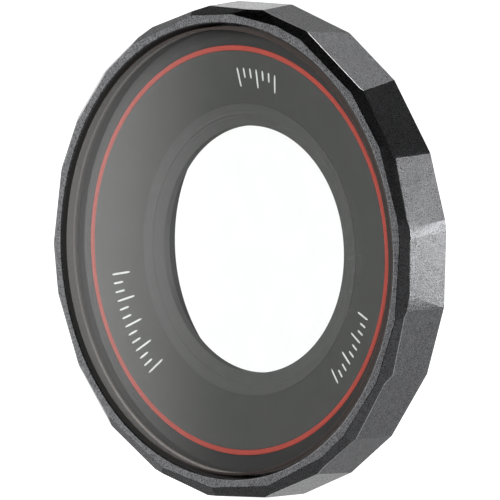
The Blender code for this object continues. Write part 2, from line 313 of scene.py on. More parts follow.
def gem_core(shrink):
    """The bezel's outer form in mm, every face moved in by shrink."""
    bm = bmesh.new()
    bmesh.ops.create_cube(bm, size=1.0)
    depth = SEAT_Y - FACE_Y - 2 * shrink
    for v in bm.verts:
        v.co = Vector((v.co.x * 60.0, v.co.y * depth + (SEAT_Y + FACE_Y) / 2,
                       v.co.z * 60.0))
    for point, normal in gem_planes():
        geom = bm.verts[:] + bm.edges[:] + bm.faces[:]
        bmesh.ops.bisect_plane(bm, geom=geom, dist=1e-4,
                               plane_co=point - normal * shrink,
                               plane_no=normal, clear_outer=True)
        rim = [e for e in bm.edges if e.is_boundary]
        if rim:
            bmesh.ops.holes_fill(bm, edges=rim, sides=0)
        bmesh.ops.remove_doubles(bm, verts=bm.verts, dist=0.01)
        bmesh.ops.dissolve_degenerate(bm, edges=bm.edges, dist=0.005)
    bmesh.ops.recalc_face_normals(bm, faces=bm.faces)
    bm.normal_update()
    return bm


def rounded_gem(name, radius, steps=4):
    """The outer form with every crest rounded: the hull of points set out from each corner."""
    core = gem_core(radius)
    hull = bmesh.new()
    seen = set()

    def add(p):
        key = (round(p.x, 4), round(p.y, 4), round(p.z, 4))
        if key not in seen:
            seen.add(key)
            hull.verts.new(p)

    for v in core.verts:
        for f in v.link_faces:
            add(v.co + f.normal * radius)
        for e in v.link_edges:
            if len(e.link_faces) != 2:
                continue
            n0, n1 = e.link_faces[0].normal, e.link_faces[1].normal
            if n0.angle(n1) < math.radians(2.0):
                continue
            for k in range(1, steps):
                add(v.co + n0.slerp(n1, k / steps) * radius)
    core.free()
    bmesh.ops.convex_hull(hull, input=hull.verts[:])
    loose = [v for v in hull.verts if not v.link_faces]
    bmesh.ops.delete(hull, geom=loose, context="VERTS")
    bmesh.ops.dissolve_limit(hull, angle_limit=math.radians(0.35), verts=hull.verts[:],
                             edges=hull.edges[:])
    for v in hull.verts:
        v.co *= MM
    return into_object(hull, name, None, merge=1e-8)


def plugs(name, specs, segs=40):
    """One cutter made of separate round plugs, each (radius, y0, y1, azimuth, pitch)."""
    bm = bmesh.new()
    for radius, y0, y1, azimuth, pitch in specs:
        centre = polar(pitch, azimuth, 0.0)
        loops = []
        for y in (y0, y1):
            loops.append([bm.verts.new((centre + polar(radius, azimuth + 5.0
                                                       + 360.0 * i / segs, y)) * MM)
                          for i in range(segs)])
        for i in range(segs):
            k = (i + 1) % segs
            bm.faces.new((loops[0][i], loops[0][k], loops[1][k], loops[1][i]))
        bm.faces.new(loops[0])
        bm.faces.new(loops[1])
    return into_object(bm, name)


def cone_y(radius):
    return MASK_Y + (CONE_R - radius) * CONE_DEPTH / (CONE_R - APERTURE_R)


def rect(r0, r1, y0, y1):
    return ((r0, y0), (r1, y0), (r1, y1), (r0, y1))


# ---------------------------------------------------------------- material helpers
class Nodes:
    """A material's node tree with short calls for the nodes used here."""

    def __init__(self, name):
        self.mat = bpy.data.materials.new(name)
        self.mat.use_nodes = True
        self.tree = self.mat.node_tree
        self.shader = self.tree.nodes["Principled BSDF"]
        self.output = self.tree.nodes["Material Output"]
        self.coords = self.tree.nodes.new("ShaderNodeTexCoord")

    def node(self, kind, **values):
        n = self.tree.nodes.new(kind)
        for key, value in values.items():
            setattr(n, key, value)
        return n

    def link(self, a, b):
        self.tree.links.new(a, b)

    def noise(self, size, detail=2.0, rough=0.5, stretch=None, distortion=0.0):
        """Noise with features of about size, in mm."""
        n = self.node("ShaderNodeTexNoise")
        n.inputs["Scale"].default_value = 1.0 / (size * MM)
        n.inputs["Detail"].default_value = detail
        n.inputs["Roughness"].default_value = rough
        n.inputs["Distortion"].default_value = distortion
        if stretch is None:
            self.link(self.coords.outputs["Object"], n.inputs["Vector"])
        else:
            m = self.node("ShaderNodeMapping")
            m.inputs["Scale"].default_value = stretch
            self.link(self.coords.outputs["Object"], m.inputs["Vector"])
            self.link(m.outputs["Vector"], n.inputs["Vector"])
        return n.outputs["Fac"]

    def rings(self, size, detail=2.0, centre=None):
        """Noise that changes only with the distance from the Y axis: turning marks."""
        if centre is None:
            source = self.coords.outputs["Object"]
        else:
            move = self.node("ShaderNodeVectorMath", operation="SUBTRACT")
            move.inputs[1].default_value = (centre[0] * MM, 0.0, centre[1] * MM)
            self.link(self.coords.outputs["Object"], move.inputs[0])
            source = move.outputs[0]
        flat = self.node("ShaderNodeVectorMath", operation="MULTIPLY")
        flat.inputs[1].default_value = (1.0, 0.0, 1.0)
        self.link(source, flat.inputs[0])
        length = self.node("ShaderNodeVectorMath", operation="LENGTH")
        self.link(flat.outputs[0], length.inputs[0])
        split = self.node("ShaderNodeSeparateXYZ")
        self.link(source, split.inputs[0])
        both = self.node("ShaderNodeMath", operation="ADD")
        self.link(length.outputs["Value"], both.inputs[0])
        self.link(split.outputs["Y"], both.inputs[1])
        n = self.node("ShaderNodeTexNoise", noise_dimensions="1D")
        n.inputs["Scale"].default_value = 1.0 / (size * MM)
        n.inputs["Detail"].default_value = detail
        self.link(both.outputs[0], n.inputs["W"])
        return n.outputs["Fac"]

    def span(self, value, low, high, a=0.3, b=0.7):
        """Maps a noise value between a and b to low and high."""
        n = self.node("ShaderNodeMapRange")
        n.inputs["From Min"].default_value = a
        n.inputs["From Max"].default_value = b
        n.inputs["To Min"].default_value = low
        n.inputs["To Max"].default_value = high
        self.link(value, n.inputs["Value"])
        return n.outputs["Result"]

    def math(self, operation, a, b):
        n = self.node("ShaderNodeMath", operation=operation)
        for i, v in enumerate((a, b)):
            if isinstance(v, (int, float)):
                n.inputs[i].default_value = v
            else:
                self.link(v, n.inputs[i])
        return n.outputs[0]

    def tint(self, factor, dark, light):
        n = self.node("ShaderNodeMix", data_type="RGBA")
        n.inputs["A"].default_value = (*dark, 1.0)
        n.inputs["B"].default_value = (*light, 1.0)
        self.link(factor, n.inputs["Factor"])
        self.link(n.outputs["Result"], self.shader.inputs["Base Color"])
        return n

    def bump(self, height, depth, strength=1.0, over=None):
        """depth is the height in mm that a noise value of 1 stands for."""
        n = self.node("ShaderNodeBump")
        n.inputs["Strength"].default_value = strength
        n.inputs["Distance"].default_value = depth * MM
        self.link(height, n.inputs["Height"])
        if over is not None:
            self.link(over, n.inputs["Normal"])
        return n.outputs["Normal"]

    def set(self, **values):
        for key, value in values.items():
            self.shader.inputs[key.replace("_", " ")].default_value = value
        return self


def blasted_metal(name, colour, grain=0.080, depth=0.017, rough=(0.25, 0.33)):
    """Bead-blasted, anodised aluminium: fine pits, uneven gloss, faint mottling."""
    m = Nodes(name)
    m.set(Metallic=1.0)
    pits = m.noise(grain, 3.0, 0.62)
    swell = m.noise(grain * 7.0, 2.0, 0.5)
    spots = m.noise(grain * 1.1, 1.0, 0.5)
    both = m.math("ADD", pits, m.math("MULTIPLY", swell, 0.15))
    m.link(m.bump(both, depth), m.shader.inputs["Normal"])
    m.link(m.span(spots, rough[0], rough[1]), m.shader.inputs["Roughness"])
    light = tuple(c * 1.56 for c in colour)
    dark = tuple(c * 0.52 for c in colour)
    m.tint(m.span(m.math("ADD", m.math("MULTIPLY", spots, 0.85),
                         m.math("MULTIPLY", swell, 0.15)), 0.0, 1.0, 0.36, 0.64), dark, light)
    return m.mat


def turned_metal(name, colour, metallic, rough=(0.30, 0.42), pitch=0.06, depth=0.0012,
                 centre=None):
    """Turned metal: fine circular tool marks and a little mottling."""
    m = Nodes(name)
    m.set(Metallic=metallic)
    marks = m.rings(pitch, 3.0, centre)
    fine = m.noise(0.05, 2.0, 0.6)
    both = m.math("ADD", marks, m.math("MULTIPLY", fine, 0.35))
    m.link(m.bump(both, depth), m.shader.inputs["Normal"])
    cloud = m.noise(1.1, 3.0, 0.55)
    m.link(m.span(cloud, rough[0], rough[1]), m.shader.inputs["Roughness"])
    m.tint(m.span(marks, 0.0, 1.0), tuple(c * 0.86 for c in colour),
           tuple(c * 1.14 for c in colour))
    return m.mat


def moulded(name, colour, rough=(0.44, 0.54), grain=0.07, depth=0.0012, specular=0.5,
            sheen=0.0):
    """Moulded or painted surface: a fine even texture with slightly uneven gloss."""
    m = Nodes(name)
    m.shader.inputs["Specular IOR Level"].default_value = specular
    if sheen:
        m.shader.inputs["Sheen Weight"].default_value = sheen
    fine = m.noise(grain, 2.0, 0.55)
    cloud = m.noise(grain * 22.0, 3.0, 0.5)
    m.link(m.bump(fine, depth), m.shader.inputs["Normal"])
    m.link(m.span(m.math("ADD", m.math("MULTIPLY", fine, 0.4),
                         m.math("MULTIPLY", cloud, 0.6)), rough[0], rough[1]),
           m.shader.inputs["Roughness"])
    m.tint(m.span(m.math("ADD", m.math("MULTIPLY", fine, 0.5),
                         m.math("MULTIPLY", cloud, 0.5)), 0.0, 1.0),
           tuple(c * 0.90 for c in colour), tuple(c * 1.10 for c in colour))
    return m.mat


def clear_glass(name):
    """Coated mineral glass. Lamp rays pass straight through to what is behind it."""
    m = Nodes(name)
    m.set(Roughness=0.0, IOR=1.5)
    m.shader.inputs["Transmission Weight"].default_value = 1.0
    haze = m.noise(2.6, 3.0, 0.5)
    m.tint(m.span(haze, 0.0, 1.0), (0.955, 0.968, 0.962), (0.985, 0.99, 0.985))
    path = m.node("ShaderNodeLightPath")
    clear = m.node("ShaderNodeBsdfTransparent")
    clear.inputs["Color"].default_value = (0.93, 0.94, 0.935, 1.0)
    mix = m.node("ShaderNodeMixShader")
    m.link(path.outputs["Is Shadow Ray"], mix.inputs[0])
    m.link(m.shader.outputs[0], mix.inputs[1])
    m.link(clear.outputs[0], mix.inputs[2])
    m.link(mix.outputs[0], m.output.inputs["Surface"])
    return m.mat


def frosted_glass(name, colour, rough=(0.34, 0.46)):
    """Fine-ground bevel of the glass: a brownish grey that catches the light in front."""
    m = Nodes(name)
    m.set(IOR=1.5)
    around = m.noise(0.30, 2.0, 0.6, stretch=(1.0, 0.2, 1.0))
    fine = m.noise(0.05, 2.0, 0.5)
    m.tint(m.span(m.math("ADD", m.math("MULTIPLY", around, 0.5),
                         m.math("MULTIPLY", fine, 0.5)), 0.0, 1.0),
           tuple(c * 0.86 for c in colour), tuple(c * 1.14 for c in colour))
    m.link(m.span(m.noise(0.4, 2.0, 0.5), rough[0], rough[1]), m.shader.inputs["Roughness"])
    m.link(m.bump(fine, 0.0015), m.shader.inputs["Normal"])
    return m.mat


def ground_glass(name, colour, through):
    """Ground rim of the glass: it scatters light back and, weakly, through."""
    m = Nodes(name)
    m.set(Roughness=0.75)
    around = m.noise(0.16, 3.0, 0.6, stretch=(1.0, 0.15, 1.0))
    fine = m.noise(0.05, 2.0, 0.5)
    m.tint(m.span(m.math("ADD", m.math("MULTIPLY", around, 0.6),
                         m.math("MULTIPLY", fine, 0.4)), 0.0, 1.0),
           tuple(c * 0.86 for c in colour), tuple(c * 1.14 for c in colour))
    m.link(m.bump(fine, 0.004), m.shader.inputs["Normal"])
    glow = m.node("ShaderNodeBsdfTranslucent")
    glow.inputs["Color"].default_value = (*through, 1.0)
    mix = m.node("ShaderNodeMixShader")
    mix.inputs[0].default_value = 0.5
    m.link(m.shader.outputs[0], mix.inputs[1])
    m.link(glow.outputs[0], mix.inputs[2])
    m.link(mix.outputs[0], m.output.inputs["Surface"])
    return m.mat


# ---------------------------------------------------------------- pieces
def build_bezel(mat, crest, bore_finish_and_shade):
    """Blasted ring with a matt bore; the front crest strips get a bright copy of the metal as a
    painted highlight.
    """
    body = rounded_gem("bezel_body", EDGE_R)
    mouth = [(BORE_R + EDGE_R * (1 - math.sin(a)), FACE_Y + EDGE_R * (1 - math.cos(a)))
             for a in (math.radians(18.0 * k) for k in range(6))]
    bore = lathe("bezel_bore", [(BORE_R + EDGE_R, FACE_Y - 0.4)] + mouth + [
        (BORE_R, WEB_Y[0] - 0.08), (BORE_R - 0.08, WEB_Y[0]),
        (WEB_R + 0.05, WEB_Y[0]), (WEB_R, WEB_Y[0] + 0.05), (WEB_R, WEB_Y[1] - 0.05),
        (WEB_R + 0.05, WEB_Y[1]), (RECESS_R - 0.05, WEB_Y[1]), (RECESS_R, WEB_Y[1] + 0.05),
        (RECESS_R, SEAT_Y - 0.12), (RECESS_R + 0.12, SEAT_Y), (RECESS_R + 0.12, SEAT_Y + 0.4)],
        closed=False)
    holes = plugs("bezel_holes", [
        (SCREW_SHANK_R + HOLE_CLEAR, WEB_Y[0] - 0.4, WEB_Y[1] + 0.3, azimuth, SCREW_R)
        for azimuth in SCREW_AZIMUTHS] + [
        (PIN_SHANK_R + HOLE_CLEAR, WEB_Y[0] - 0.4, WEB_Y[1] + 0.3, azimuth, PIN_R)
        for azimuth in PIN_AZIMUTHS])
    boolean(body, [bore, holes])
    place(body, mat, "bezel_aluminium", "bezel_ring")
    body.data.materials.append(crest)
    body.data.materials.append(bore_finish_and_shade)
    for poly in body.data.polygons:
        # Small strips along the front crest take the bright metal: a painted highlight line.
        if (poly.area < 0.35 * MM * MM and -0.62 < poly.normal.y < -0.06
                and abs(poly.center.y - WALL_Y * MM) < 0.15 * MM):
            poly.material_index = 1
        # The bore wall takes the matt finish, darkened in part as painted shade of the gap.
        inward = poly.normal.x * poly.center.x + poly.normal.z * poly.center.z
        radius = math.hypot(poly.center.x, poly.center.z) / MM
        if abs(poly.normal.y) < 0.2 and inward < 0.0 and abs(radius - BORE_R) < 0.05:
            poly.material_index = 2
    return body


def build_glass(mat, ground, frosted):
    """Two polished faces, a fine-ground front bevel and a ground rim."""
    r, b = GLASS_R, GLASS_BEVEL
    outline = soften(((0.001, GLASS_FRONT_Y), (r - b, GLASS_FRONT_Y), (r, GLASS_FRONT_Y + b),
                      (r, GLASS_BACK_Y - 0.12), (r - 0.12, GLASS_BACK_Y),
                      (0.001, GLASS_BACK_Y)), 0.03, 3, closed=False)
    glass = lathe("glass_window", outline[1:-1], closed=False)
    place(glass, mat, "clear_glass", "cover_glass")
    glass.data.materials.append(ground)
    glass.data.materials.append(frosted)
    for poly in glass.data.polygons:
        if abs(poly.normal.y) < 0.97:
            front = poly.center.y < (GLASS_FRONT_Y + GLASS_BEVEL) * MM
            poly.material_index = 2 if front else 1
    return glass


def build_mask(mat, border):
    """Cone with a satin finish; the flat border outside the red ring gets a darker copy of the black
    as painted shade.
    """
    inner = BAFFLE_R + 0.012
    back = cone_y(inner) + 0.42
    gap = 0.012
    outline = soften((
        (MASK_R, MASK_Y), (ACCENT_R[1] + gap, MASK_Y),
        (ACCENT_R[1] + gap, MASK_Y + ACCENT_T + gap),
        (ACCENT_R[0] - gap, MASK_Y + ACCENT_T + gap),
        (ACCENT_R[0] - gap, MASK_Y + 0.002),
        (inner, cone_y(inner)), (inner, back), (14.2, back),
        (WEB_R - 0.45, MASK_Y + MASK_T + 0.16), (MASK_BOND_R[0] - 0.25, MASK_Y + MASK_T),
        (MASK_R, MASK_Y + MASK_T)), 0.012)
    mask = lathe("mask_dish", outline)
    boolean(mask, [plugs("mask_pin_holes", [
        (PIN_SHANK_R + HOLE_CLEAR, PIN_Y[0] - 0.10, MASK_Y + MASK_T + 0.3, azimuth, PIN_R)
        for azimuth in PIN_AZIMUTHS])])
    place(mask, mat, "mask_black", "mask_plate")
    mask.data.materials.append(border)
    # The flat border outside the red ring takes the darker copy: painted shade.
    for poly in mask.data.polygons:
        if math.hypot(poly.center.x, poly.center.z) > ACCENT_R[1] * MM:
            poly.material_index = 1
    return mask


def build_accent(mat):
    r0, r1 = ACCENT_R
    ring = lathe("accent_band", soften(rect(r0, r1, MASK_Y - 0.012, MASK_Y + ACCENT_T), 0.05))
    return place(ring, mat, "accent_red", "accent_ring")


def build_baffle(mat):
    """Light-trap ring: fine saw steps of uneven width, then the plain aperture bore."""
    steps = (12.03, 11.86, 11.65, 11.33, 11.12, 10.96, 10.85, 10.69)
    outline = [(BAFFLE_R, cone_y(BAFFLE_R) - 0.01)]
    last = BAFFLE_R
    for r in steps:
        outline.append((r + 0.035, cone_y(last) + 0.030))
        outline.append((r, cone_y(r) - 0.004))
        last = r
    outline += [(APERTURE_R + 0.05, cone_y(APERTURE_R)), (APERTURE_R, cone_y(APERTURE_R) + 0.05),
                (APERTURE_R, cone_y(APERTURE_R) + BAFFLE_BORE - 0.05),
                (APERTURE_R + 0.05, cone_y(APERTURE_R) + BAFFLE_BORE)]
    foot = cone_y(BAFFLE_R + 0.10) + 0.42 + 0.12
    outer = FLANGE_BORE_R - 0.25
    outline += [(outer - 0.05, cone_y(APERTURE_R) + BAFFLE_BORE),
                (outer, cone_y(APERTURE_R) + BAFFLE_BORE - 0.05),
                (outer, foot), (BAFFLE_R, foot)]
    ring = lathe("light_trap", outline, angle=20.0)
    return place(ring, mat, "baffle_black", "baffle_ring", angle=20.0)


def build_collar(mat):
    outline = soften((
        (FLANGE_BORE_R, FLANGE_Y[0]), (FLANGE_R, FLANGE_Y[0]), (FLANGE_R, FLANGE_Y[1]),
        (COLLAR_R, FLANGE_Y[1]), (COLLAR_R, TAIL_Y - 0.15), (COLLAR_R - 0.15, TAIL_Y),
        (COLLAR_BORE_R, TAIL_Y), (COLLAR_BORE_R, STEP_Y + 0.32),
        (SEAL_R[0], STEP_Y + 0.32), (SEAL_R[0], STEP_Y), (FLANGE_BORE_R, STEP_Y)), 0.05)
    collar = lathe("bayonet_collar", outline)
    lugs = [lug(f"lug_{i}", azimuth) for i, azimuth in enumerate(LUG_AZIMUTHS)]
    boolean(collar, lugs, "UNION")
    seats = plugs("head_seats", [
        (SCREW_HEAD_R + HOLE_CLEAR, FLANGE_Y[1] - SCREW_HEAD_T - 0.09, FLANGE_Y[1] + 0.3,
         azimuth, SCREW_R) for azimuth in SCREW_AZIMUTHS], 56)
    holes = plugs("screw_holes", [
        (SCREW_SHANK_R + HOLE_CLEAR, FLANGE_Y[0] - 0.3, FLANGE_Y[1] - 0.2, azimuth, SCREW_R)
        for azimuth in SCREW_AZIMUTHS])
    boolean(collar, [seats, holes])
    return place(collar, mat, "collar_black", "bayonet_ring")


def lug(name, azimuth, segs=36):
    """One twist-lock lug: a sector with rounded edges and a lead-in ramp at one end."""
    bm = bmesh.new()
    rows = []
    for i in range(segs + 1):
        a = azimuth - LUG_SPAN / 2 + LUG_SPAN * i / segs
        lead = 0.35 * max(0.0, 1.0 - i / (segs * 0.25)) ** 1.5
        end = min(i, segs - i) / segs * LUG_SPAN
        top = LUG_R - 0.22 * max(0.0, 1.0 - end / 0.8) ** 2
        outline = soften(((COLLAR_R - 0.4, LUG_Y[0] + lead), (top, LUG_Y[0] + lead),
                          (top, LUG_Y[1] - 0.2), (top - 0.2, LUG_Y[1]),
                          (COLLAR_R - 0.4, LUG_Y[1])), 0.05, 2, closed=True, sharp=(0, 4))
        rows.append([bm.verts.new(polar(r, a, y) * MM) for r, y in outline])
    count = len(rows[0])
    for a, b in zip(rows, rows[1:]):
        for j in range(count):
            k = (j + 1) % count
            bm.faces.new((a[j], a[k], b[k], b[j]))
    bm.faces.new(rows[0])
    bm.faces.new(rows[-1])
    return into_object(bm, name)


def build_o_ring(mat):
    r = O_RING_D / 2
    outline = [(O_RING_R + r * math.cos(a), FLANGE_Y[1] + 0.12 + r + r * math.sin(a))
               for a in (2 * math.pi * i / 28 for i in range(28))]
    return place(lathe("seat_o_ring_cord", outline), mat, "rubber_black", "seat_o_ring",
                 angle=60.0)


def build_seal(mat):
    y0, y1 = SEAL_Y
    r0, r1 = SEAL_R
    outline = soften(((r0, y0), (r1, y0), (r1, y1), (r0 + 0.20, y1), (r0, y1 - 0.20)), 0.06)
    return place(lathe("lens_seal_sleeve", outline), mat, "rubber_black", "lens_seal")


def build_screw(index, azimuth, mat):
    p = polar(SCREW_R, azimuth, 0.0)
    top = FLANGE_Y[1] - 0.04
    under = top - SCREW_HEAD_T
    outline = [(SCREW_SHANK_R - 0.12, under - SCREW_LEN),
               (SCREW_SHANK_R, under - SCREW_LEN + 0.12)]
    pitch, y = 0.125, under - SCREW_LEN + 0.16
    while y + pitch < under - 0.12:        # thread as fine grooves down to a short plain neck
        outline += [(SCREW_SHANK_R, y + 0.02), (SCREW_SHANK_R - 0.07, y + pitch * 0.5),
                    (SCREW_SHANK_R, y + pitch - 0.02)]
        y += pitch
    outline += [(SCREW_SHANK_R, under), (SCREW_HEAD_R - 0.03, under),
                (SCREW_HEAD_R, under + 0.03)]
    for k in range(6):
        a = math.radians(90.0 * k / 5)
        outline.append((SCREW_HEAD_R - 0.10 + 0.10 * math.cos(a), top - 0.10 + 0.10 * math.sin(a)))
    screw = lathe(f"screw_{index}", outline, segs=64, closed=False, centre=(p.x, p.z))
    socket = lathe(f"socket_{index}", (
        (0.10, top - SCREW_SOCKET_T - 0.05), (SCREW_SOCKET_R, top - SCREW_SOCKET_T),
        (SCREW_SOCKET_R, top - 0.045), (SCREW_SOCKET_R + 0.3, top + 0.255)),
        segs=6, closed=False, centre=(p.x, p.z), phase=azimuth, smooth=False)
    boolean(screw, [socket])
    return place(screw, mat, "steel", f"collar_screw_{index}")


def build_pin(index, azimuth, mat):
    p = polar(PIN_R, azimuth, 0.0)
    outline = [(PIN_SHANK_R - 0.08, PIN_Y[0])]
    outline += [(PIN_SHANK_R - 0.08 + 0.08 * math.sin(a), PIN_Y[0] + 0.08 - 0.08 * math.cos(a))
                for a in (math.radians(30.0 * k) for k in range(1, 4))]
    outline += [(r, PIN_Y[0] + PIN_Y[1] - y) for r, y in reversed(outline)]
    pin = lathe(f"dowel_{index}", outline, segs=48, closed=False, centre=(p.x, p.z))
    return place(pin, mat, "steel", f"mask_pin_{index}")


def mark_strip(bm, azimuth, r0, r1, half, rise=0.016, sink=0.010, rows=6):
    """One printed stroke on the cone, along a radius."""
    loops = []
    for k in range(rows + 1):
        r = r0 + (r1 - r0) * k / rows
        taper = half * (0.55 if k in (0, rows) else 1.0)
        across = math.degrees(taper / r)
        loops.append([bm.verts.new(polar(r, azimuth + side * across, cone_y(r) + y) * MM)
                      for side, y in ((-1, sink), (-1, -rise * 0.6), (-0.7, -rise),
                                      (0.7, -rise), (1, -rise * 0.6), (1, sink))])
    for a, b in zip(loops, loops[1:]):
        for j in range(6):
            k = (j + 1) % 6
            bm.faces.new((a[j], a[k], b[k], b[j]))
    bm.faces.new(loops[0])
    bm.faces.new(loops[-1])


def mark_arc(bm, start, end, r0, r1, rise=0.016, sink=0.010):
    """One printed stroke on the cone, along the circumference."""
    count = max(4, int(abs(end - start) / 0.5))
    middle = (r0 + r1) / 2
    loops = []
    for k in range(count + 1):
        azimuth = start + (end - start) * k / count
        grow = 0.55 if k in (0, count) else 1.0
        a, b = middle + (r0 - middle) * grow, middle + (r1 - middle) * grow
        loops.append([bm.verts.new(polar(r, azimuth, cone_y(r) + y) * MM)
                      for r, y in ((a, sink), (a, -rise * 0.6), (a + (b - a) * 0.15, -rise),
                                   (a + (b - a) * 0.85, -rise), (b, -rise * 0.6), (b, sink))])
    for a, b in zip(loops, loops[1:]):
        for j in range(6):
            k = (j + 1) % 6
            bm.faces.new((a[j], a[k], b[k], b[j]))
    bm.faces.new(loops[0])
    bm.faces.new(loops[-1])


def build_marks(index, middle, half_span, count, mat):
    """A plain graduation: evenly spaced strokes, every third one long."""
    bm = bmesh.new()
    for k in range(count):
        azimuth = middle - half_span + 2 * half_span * k / (count - 1)
        long = k % 3 == 0
        r0 = MARK_R - 0.80 if long else MARK_R - 0.05
        mark_strip(bm, azimuth, r0, MARK_R + 0.80, 0.085)
    obj = into_object(bm, f"dial_marks_{index}")
    return place(obj, mat, "mark_white")


# ---------------------------------------------------------------- build everything
bezel_metal = blasted_metal("bezel_anodised", (0.205, 0.206, 0.214))
# Matt finish of the bore wall, darkened further as painted shade of the deep gap behind the glass
# edge.
bore_matt_and_shade = moulded("bezel_bore_matt_and_shade", (0.060, 0.059, 0.058), (0.50, 0.62), 0.08, 0.0010, 0.4)
# A bright copy of the bezel metal for the crest strips: a painted highlight along the crest.
crest_highlight_metal = blasted_metal("bezel_crest_painted_highlight", (0.86, 0.86, 0.87),
                            depth=0.002, rough=(0.14, 0.22))
collar_metal = turned_metal("collar_anodised", (0.062, 0.062, 0.066), 0.85)
steel = turned_metal("steel_screw", (0.50, 0.49, 0.48), 1.0, (0.22, 0.34), 0.05, 0.0008)
glass_clear = clear_glass("glass_clear")
glass_frosted = frosted_glass("glass_frosted", (0.056, 0.045, 0.041))
glass_ground = ground_glass("glass_ground", (0.420, 0.388, 0.372), (0.16, 0.14, 0.13))
mask_plastic = moulded("mask_black", (0.086, 0.086, 0.083), (0.50, 0.60), depth=0.0006, specular=0.28)
# A darker copy of the mask black for the flat border: painted shade.
border_painted_shade = moulded("mask_border_painted_shade", (0.047, 0.046, 0.046), (0.52, 0.62), 0.07, 0.0004, 0.3)
baffle_plastic = moulded("baffle_black", (0.108, 0.108, 0.106), (0.50, 0.60), 0.06, 0.0006, 0.3)
red_paint = moulded("accent_red", (0.42, 0.076, 0.060), (0.34, 0.44), 0.05, 0.0008)
rubber = moulded("rubber_black", (0.030, 0.030, 0.030), (0.58, 0.74), 0.09, 0.0030, 0.4, 0.15)
adhesive = moulded("adhesive_black", (0.010, 0.010, 0.010), (0.30, 0.45), 0.30, 0.0060)
bead = moulded("adhesive_grey", (0.17, 0.152, 0.142), (0.50, 0.60), 0.12, 0.004)
white_ink = moulded("mark_white", (0.80, 0.80, 0.79), (0.40, 0.50), 0.04, 0.0010)

build_bezel(bezel_metal, crest_highlight_metal, bore_matt_and_shade)
build_glass(glass_clear, glass_ground, glass_frosted)
place(lathe("glass_bond_bead", soften(rect(*BOND_R, GLASS_BACK_Y + 0.01, MASK_Y - 0.01),
                                      0.03)), bead, "bond_black", "glass_bond_ring")
build_mask(mask_plastic, border_painted_shade)
build_accent(red_paint)
build_baffle(baffle_plastic)
mask_bond = lathe("mask_bond_bead", soften(rect(*MASK_BOND_R, *MASK_BOND_Y), 0.05))
boolean(mask_bond, [plugs("mask_bond_pin_holes", [
    (PIN_SHANK_R + HOLE_CLEAR, MASK_BOND_Y[0] - 0.3, MASK_BOND_Y[1] + 0.3, azimuth, PIN_R)
    for azimuth in PIN_AZIMUTHS])])
place(mask_bond, adhesive, "bond_black", "mask_bond_ring")
build_collar(collar_metal)
build_seal(rubber)
build_o_ring(rubber)
for number, azimuth in enumerate(SCREW_AZIMUTHS):
    build_screw(number + 1, azimuth, steel)
for number, azimuth in enumerate(PIN_AZIMUTHS):
    build_pin(number + 1, azimuth, steel)
build_marks(1, 5.7, 8.2, 7, white_ink)
build_marks(2, 121.9, 12.2, 10, white_ink)
build_marks(3, 242.2, 17.2, 13, white_ink)

# ---------------------------------------------------------------- camera
VIEW_AZIMUTH, VIEW_ELEVATION = 43.52, 4.12
FRAME_WIDTH = 41.83 * MM        # what the picture spans
a, e = math.radians(VIEW_AZIMUTH), math.radians(VIEW_ELEVATION)
toward_camera = Vector((math.sin(a) * math.cos(e), -math.cos(a) * math.cos(e), math.sin(e)))
right = Vector((math.cos(a), math.sin(a), 0.0))
up = Vector((-math.sin(a) * math.sin(e), math.cos(a) * math.sin(e), math.cos(e)))
aim = (Vector((0.0, -3.37, 0.0)) + right * 0.8634 + up * 0.0176) * MM
lens = bpy.data.cameras.new("camera")
lens.type = "ORTHO"
lens.ortho_scale = FRAME_WIDTH
lens.clip_start, lens.clip_end = 0.05, 100.0
camera = bpy.data.objects.new("camera", lens)
bpy.context.scene.collection.objects.link(camera)
camera.rotation_mode = "QUATERNION"
camera.rotation_quaternion = toward_camera.to_track_quat("Z", "Y")
camera.location = aim + toward_camera * 1.5
bpy.context.scene.camera = camera

# ---------------------------------------------------------------- floor
floor_z = cad_low.z - 0.02 * MM
bm = bmesh.new()
bmesh.ops.create_grid(bm, x_segments=8, y_segments=8, size=6.0)
floor = into_object(bm, "floor")
floor.location.z = floor_z
floor_look = Nodes("floor_pale")
floor_look.set(Roughness=0.8)
floor_look.tint(floor_look.noise(900.0, 2.0), (0.93, 0.93, 0.93), (0.95, 0.95, 0.95))
floor_look.shader.inputs["Emission Color"].default_value = (1.0, 1.0, 1.0, 1.0)
floor_look.shader.inputs["Emission Strength"].default_value = 1.05
floor.data.materials.append(floor_look.mat)
floor.visible_diffuse = False
floor.visible_glossy = False
floor.visible_shadow = False
floor.visible_transmission = False

# ---------------------------------------------------------------- studio light
# A soft surround, brighter and darker by direction like a lit studio: each entry is a
# direction, a strength and how narrow that part is.
LOBES = {
    "back_left": ((-0.78, 0.62, -0.02), 3.05, 18.0),
    "back_up": ((-0.13, 0.723, 0.678), 0.36, 24.0),
    "back_right_down": ((0.497, 0.723, -0.479), 0.78, 9.0),
    "back_down": ((0.02, 0.723, -0.69), 0.28, 9.0),
    "back_left_down": ((-0.50, 0.723, -0.45), 0.48, 9.0),
    "front_right": ((0.80, -0.60, 0.0), 0.16, 8.0),
    "front_right_up": ((0.53, -0.56, 0.63), 0.03, 6.0),
    "front_right_down": ((0.47, -0.49, -0.74), 0.38, 6.0),
    "down": ((-0.17, -0.21, -0.96), 0.13, 6.0),
    "left_down": ((-0.69, 0.14, -0.71), 0.15, 6.0),
    "top_right": ((0.02, 0.42, 0.907), 5.60, 90.0),
    "top_left": ((-0.44, 0.54, 0.718), 1.30, 90.0),
}
world = bpy.data.worlds.new("studio")
bpy.context.scene.world = world
world.use_nodes = True
tree = world.node_tree
tree.nodes.clear()


def math_node(operation, a, b=None, name=None):
    n = tree.nodes.new("ShaderNodeMath")
    n.operation = operation
    if name:
        n.name = n.label = name
    for i, v in enumerate((a, b)):
        if v is None:
            continue
        if isinstance(v, (int, float)):
            n.inputs[i].default_value = v
        else:
            tree.links.new(v, n.inputs[i])
    return n.outputs[0]


